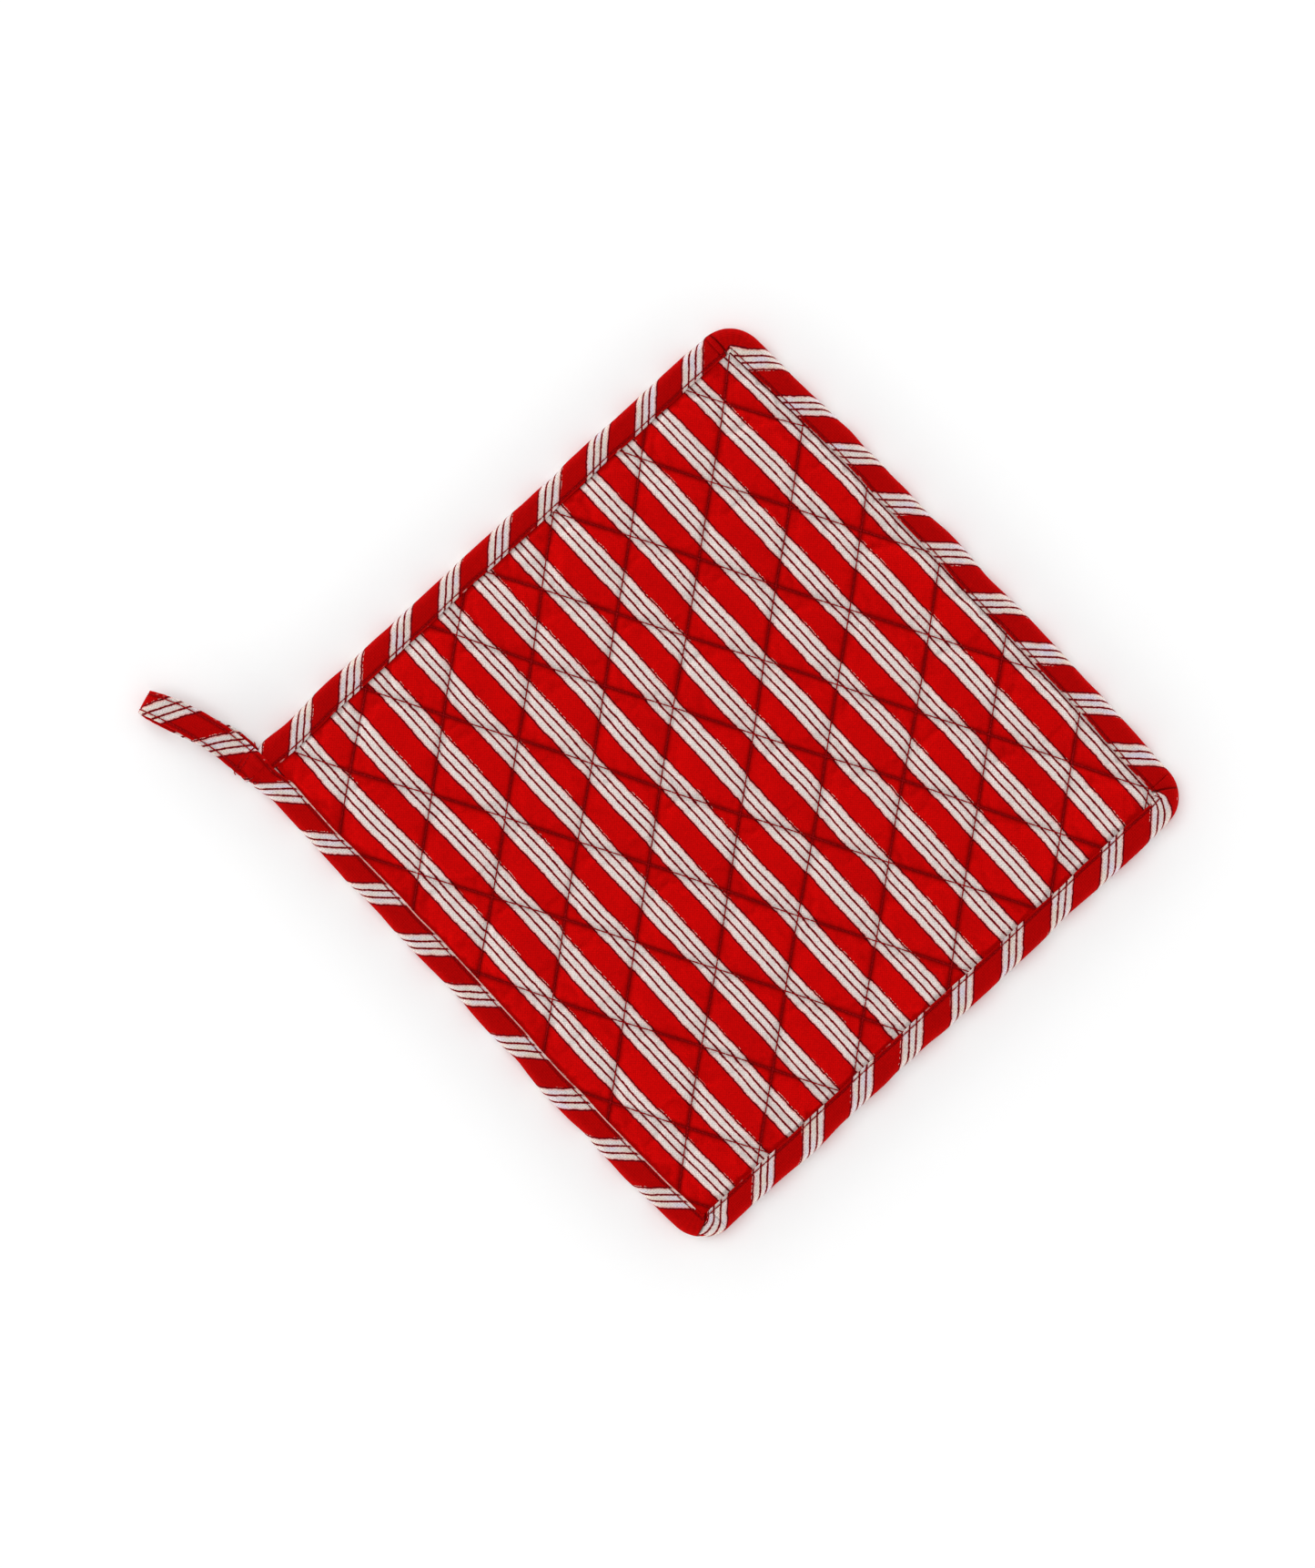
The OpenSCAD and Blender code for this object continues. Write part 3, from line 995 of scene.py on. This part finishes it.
def hanging_loop(material):
    """The strip run on as a pressed tape, folded over into a loop with its end tucked under."""
    across, up = tape_section()
    ring = loop_surface(across, up)
    at, width = LOOP_AT[:, None], LOOP_HALF[:, None]
    rough = 0.09 * value_noise(at, across * 40, 1.3, 33) * (np.abs(across) > 0.93)
    ring = ring + LOOP_LATERAL[:, None] * (rough * np.sign(across))[..., None]
    w = width * (across + 1)
    s = np.where(up >= 0, w + 0.8, -w - 0.8)
    print_u = (at + s - LOOP_STRIPE - STRIPE_ACROSS) / LOOP_PITCH
    printed = np.stack([print_u, (at - s) / math.sqrt(2) + 3 * SIDE_SHIFT, 0 * s - 1], -1)
    edge = np.minimum(w, 2 * width - w) - 0.4
    folds = np.stack([np.broadcast_to(edge, s.shape), 0 * s + 9, 0 * s], -1)
    return mesh_piece("loop_tape", ring, swept_faces(*ring.shape[:2]), material, closed=True,
                      print=printed, print_next=printed, folds=folds)


# ---- stitches

STITCH = 2.35
THREAD_R = 0.19


def sewn_row(points, normals, stitch=STITCH, proud=0.12):
    """Stitches along a line on a surface, each a line of seven points that dives in at both ends."""
    normals = np.broadcast_to(normals, points.shape)
    steps = np.linalg.norm(np.diff(points, axis=0), axis=1)
    at = np.append(0, np.cumsum(steps))
    count = max(int(at[-1] / stitch), 1)
    pitch = at[-1] / count
    share = np.array([-0.02, 0.08, 0.28, 0.5, 0.72, 0.92, 1.02])
    place = (np.arange(count)[:, None] + share[None]) * pitch
    follow = [np.interp(place, at, c) for c in np.concatenate([points, normals], 1).T]
    rise = np.array([-0.2, 0.02, proud, proud * 1.2, proud, 0.02, -0.2])
    normal = np.stack(follow[3:], -1)
    return np.stack(follow[:3], -1) + normal * rise[None, :, None], normal


def thread_piece(name, rows, material, radius=THREAD_R):
    """One piece made of many separate stitches."""
    line = np.concatenate([r[0] for r in rows])
    normal = np.concatenate([r[1] for r in rows])
    tangent = np.gradient(line, axis=1)
    tangent /= np.linalg.norm(tangent, axis=2)[..., None]
    side = np.cross(tangent, normal)
    side /= np.linalg.norm(side, axis=2)[..., None]
    up = np.cross(side, tangent)
    turn = np.arange(6) * math.pi / 3
    thick = radius * np.array([0.6, 0.95, 1, 1, 1, 0.95, 0.6])[None, :, None, None]
    circle = np.cos(turn)[:, None] * side[:, :, None] + np.sin(turn)[:, None] * up[:, :, None]
    rings = line[:, :, None] + thick * circle
    stitches, along, round_ = rings.shape[:3]
    one = [list(face) for face in swept_faces(along, round_)]
    size = along * round_
    faces = [[v + size * k for v in face] for k in range(stitches) for face in one]
    numbers, shares, angles = np.arange(stitches), np.linspace(0, STITCH, along), turn / (2 * math.pi)
    number, share, angle = np.meshgrid(numbers, shares, angles, indexing="ij")
    twist = np.stack([share + 3.7 * number, angle, 0 * angle], -1)
    return mesh_piece(name, rings, faces, material, closed=True, twist=twist)


def quilting(name, family, height, up, material):
    """The stitches of one family of seams on one face."""
    t, n = line_frame(family)
    rows = []
    for k in range(1, len(family["lines"]) - 1):
        along = np.arange(-150, 150, 0.4)
        across = seam_offset(family, k, along)
        x, y = along * t[0] + across * n[0], along * t[1] + across * n[1]
        inside = inset(x, y) > BINDING_W - 0.6
        if np.count_nonzero(inside) < 12:
            continue
        x, y = x[inside], y[inside]
        points = np.stack([x, y, height(x, y) + up * 0.02], -1)
        rows.append(sewn_row(points, (0.0, 0.0, up)))
    return thread_piece(name, rows, material)


def binding_stitches(name, face, material):
    """The row that closes the binding on one face."""
    length = np.arange(1.5, STRIP_LENGTH - 1.0, 0.3)
    points = strip_surface(length, face * (FABRIC_HALF - STITCH_IN))[0]
    return thread_piece(name, [sewn_row(points, (0.0, 0.0, face))], material)


def loop_stitches(name, material):
    """The two rows along the tape's edges, on its outer face."""
    rows = []
    for side in (-1, 1):
        place = side * (1 - TAPE_STITCH_IN / TAPE_HALF)
        points = loop_surface(np.array([[place]]), np.array([[TAPE_T / 2 - 0.2]]))[:, 0]
        keep = slice(20, -8)
        rows.append(sewn_row(points[keep], LOOP_OUT[keep]))
    return thread_piece(name, rows, material)


TACKS = [
    [(-102.0, 104.2), (-101.0, 99.0), (-95.7, 99.9)],
    [(-102.3, 99.4), (-97.5, 100.7), (-92.9, 100.4)],
    [(-100.5, 94.0), (-100.2, 92.2), (-98.0, 92.1)],
]
TAILS = [
    [(-93.4, 100.5), (-92.6, 100.9), (-92.3, 101.7)],
    [(-102.0, 99.6), (-102.7, 99.1), (-102.9, 98.3)],
]


def strand_top(y):
    """Height of the loop's upper strand near its root."""
    upper = LOOP_RISE & (LOOP_AT < 112)
    return np.interp(y, LOOP_POINTS[upper, 1], LOOP_POINTS[upper, 2]) + TAPE_T / 2


def top_of_tape(x, y):
    """Height of the cloth about the loop's root, lower at the tape's two edges."""
    w = np.clip(x + 102.2 - 0.35 * np.maximum(y - 100, 0), 0, 9)
    edge = np.minimum(np.clip(w, 0, 0.6), np.clip(9.0 - w, 0, 0.6)) / 0.6
    return strand_top(y) + np.maximum(tape_half(y, w) - 0.5 * ROLL, 0) - 0.3 * (1 - edge)


def tack_row(route, per_span, lift, stitch):
    """Stitches along a route over the loop's root, lifted off the cloth by the two values of lift."""
    xy = spline(route, per_span)
    z = top_of_tape(xy[:, 0], xy[:, 1]) + np.linspace(*lift, len(xy))
    return sewn_row(np.column_stack([xy, z]), (0.0, 0.0, 1.0), stitch=stitch)


def tack_stitches(name, material):
    """Hand-guided zigzags that hold the loop's two ends at the corner, and their loose tails."""
    tacks = [tack_row(route, 14, (0.0, 0.0), 2.0) for route in TACKS]
    tails = [tack_row(route, 10, (0.1, 0.5), 9.0) for route in TAILS]
    return thread_piece(name, tacks + tails, material)


# ---- camera, light and floor

CAMERA_AT = (-13.52, 11.45)
CAMERA_HEIGHT = 1600.0
CAMERA_RIGHT = np.array([0.7349, -0.6782, 0.0])
VIEW_HEIGHT = 465.7  # what the picture takes in from its top to its bottom
KEY_LIGHT = {"place": (-0.3, 1.1, 2.7), "target": (0, 0, 0), "size": 3.0, "power": 38}
TENT_LIGHT = 0.42  # the world overhead
HORIZON_LIGHT = 4.3  # and near the horizon
TENT_FROM = 0.45  # height on the world's sphere above which it is only TENT_LIGHT
HORIZON_TO = 0.12  # and below which it is HORIZON_LIGHT
FLOOR_HALF = 4000.0


def add_camera():
    """Looks straight down, turned so that the loop points left."""
    right = CAMERA_RIGHT / np.linalg.norm(CAMERA_RIGHT)
    up = np.array([-right[1], right[0], 0.0])
    data = bpy.data.cameras.new("camera")
    data.sensor_width = 36
    data.lens = 36 * CAMERA_HEIGHT / VIEW_HEIGHT
    data.clip_start, data.clip_end = 0.05, 20
    camera = new_object("camera", data)
    matrix = np.eye(4)
    matrix[:3, 0], matrix[:3, 1] = right, up
    matrix[:3, 3] = np.array([*CAMERA_AT, CAMERA_HEIGHT + EDGE_Z]) * MM
    camera.matrix_world = Matrix(matrix.tolist())
    bpy.context.scene.camera = camera


def area_light(name, place, target, size, power):
    """A square soft light at place, facing target, in metres."""
    data = bpy.data.lights.new(name, "AREA")
    data.size, data.energy = size, power
    light = new_object(name, data)
    light.location = place
    light.rotation_mode = "QUATERNION"
    light.rotation_quaternion = (Vector(target) - Vector(place)).to_track_quat("-Z", "Y")


def white_tent():
    """White all round, and brighter low down, which gives the broad soft shadow about a thin object."""
    g = Graph(bpy.data.worlds.new("white_tent"))
    direction = g.node("ShaderNodeTexCoord").outputs["Generated"]
    height = g.split(direction)[2].abs()
    ramp = g.node("ShaderNodeMapRange", {"interpolation_type": "SMOOTHSTEP"}, Value=height,
                  From_Min=TENT_FROM, From_Max=HORIZON_TO, To_Min=TENT_LIGHT, To_Max=HORIZON_LIGHT)
    background = g.tree.nodes["Background"]
    g.feed(background.inputs["Strength"], ramp.outputs[0])
    g.feed(background.inputs["Color"], (1, 1, 1, 1))
    return g.owner


def add_studio():
    """Soft light from above and all round, over a plain pale floor."""
    area_light("key", **KEY_LIGHT)
    bpy.context.scene.world = white_tent()
    corners = [(x * FLOOR_HALF, y * FLOOR_HALF, 0) for x, y in ((-1, -1), (1, -1), (1, 1), (-1, 1))]
    floor = mesh_piece("floor", corners, [[0, 1, 2, 3]], floor_paper())
    bpy.context.scene.view_settings.view_transform = "Standard"


# ---- the whole object


def cloth_faces(material):
    """The printed face and back."""
    front = face_cloth("front_print", front_height, 0.66, material, 41)
    back = face_cloth("back_print", back_height, 0.8, material, 42)
    for sheet, node in ((front, "front_cloth"), (back, "back_cloth")):
        stands_for(sheet, node)


def padding(wadding, fleece):
    """The two waddings, and the insulating fleece between them."""
    upper = layer("upper_wadding", upper_limits, WADDING_HALF, wadding)
    lower = layer("lower_wadding", lower_limits, WADDING_HALF, wadding)
    barrier = layer("fleece_barrier", fleece_limits, FLEECE_HALF, fleece)
    stands_for(upper, "front_wadding")
    stands_for(lower, "back_wadding")
    stands_for(barrier, "heat_barrier")


def bound_edge(material):
    """The binding, in place of its CAD node on the pad."""
    piece = stands_for(binding(material), "binding")


def pad_stitches(thread):
    """The quilting on both faces, and the row that closes the binding."""
    for family, word in ((STEEP, "steep"), (SHALLOW, "shallow")):
        for face, height, up in (("front", front_height, 1.0), ("back", back_height, -1.0)):
            row = quilting(f"{word}_stitches_{face}", family, height, up, thread)
            stands_for(row, f"quilting_thread_{word}_{face}")
    for face, up in (("front", 1.0), ("back", -1.0)):
        row = binding_stitches(f"binding_stitches_{face}", up, thread)
        stands_for(row, f"binding_stitching_{face}")


def loop_pieces(strip, thread):
    """The loop and its stitches, in place of their CAD nodes, on no body, with their transforms baked into
    their meshes.
    """
    tape = hanging_loop(strip)
    edges = loop_stitches("loop_stitches", thread)
    tacks = tack_stitches("tack_stitches", thread)
    stands_for(tape, "hanging_loop", body=None)
    stands_for(edges, "loop_edge_stitching", body=None)
    stands_for(tacks, "loop_tack_stitching", body=None)
    for piece in (tape, edges, tacks):
        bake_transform(piece)


def build():
    """Makes every piece of the pot holder, with its materials."""
    face = printed_cotton("printed_cotton", FACE_PRINT)
    strip = printed_cotton("binding_cotton", STRIP_PRINT, strip=True)
    thread = sewing_thread("sewing_thread")
    wadding = fibre_pad("cotton_wadding", srgb(236, 230, 214), srgb(205, 196, 176), 0.25)
    fleece = fibre_pad("insulating_fleece", srgb(176, 178, 182), srgb(128, 130, 136), 0.6)
    cloth_faces(face)
    padding(wadding, fleece)
    bound_edge(strip)
    pad_stitches(thread)
    loop_pieces(strip, thread)


add_camera()
add_studio()
build()
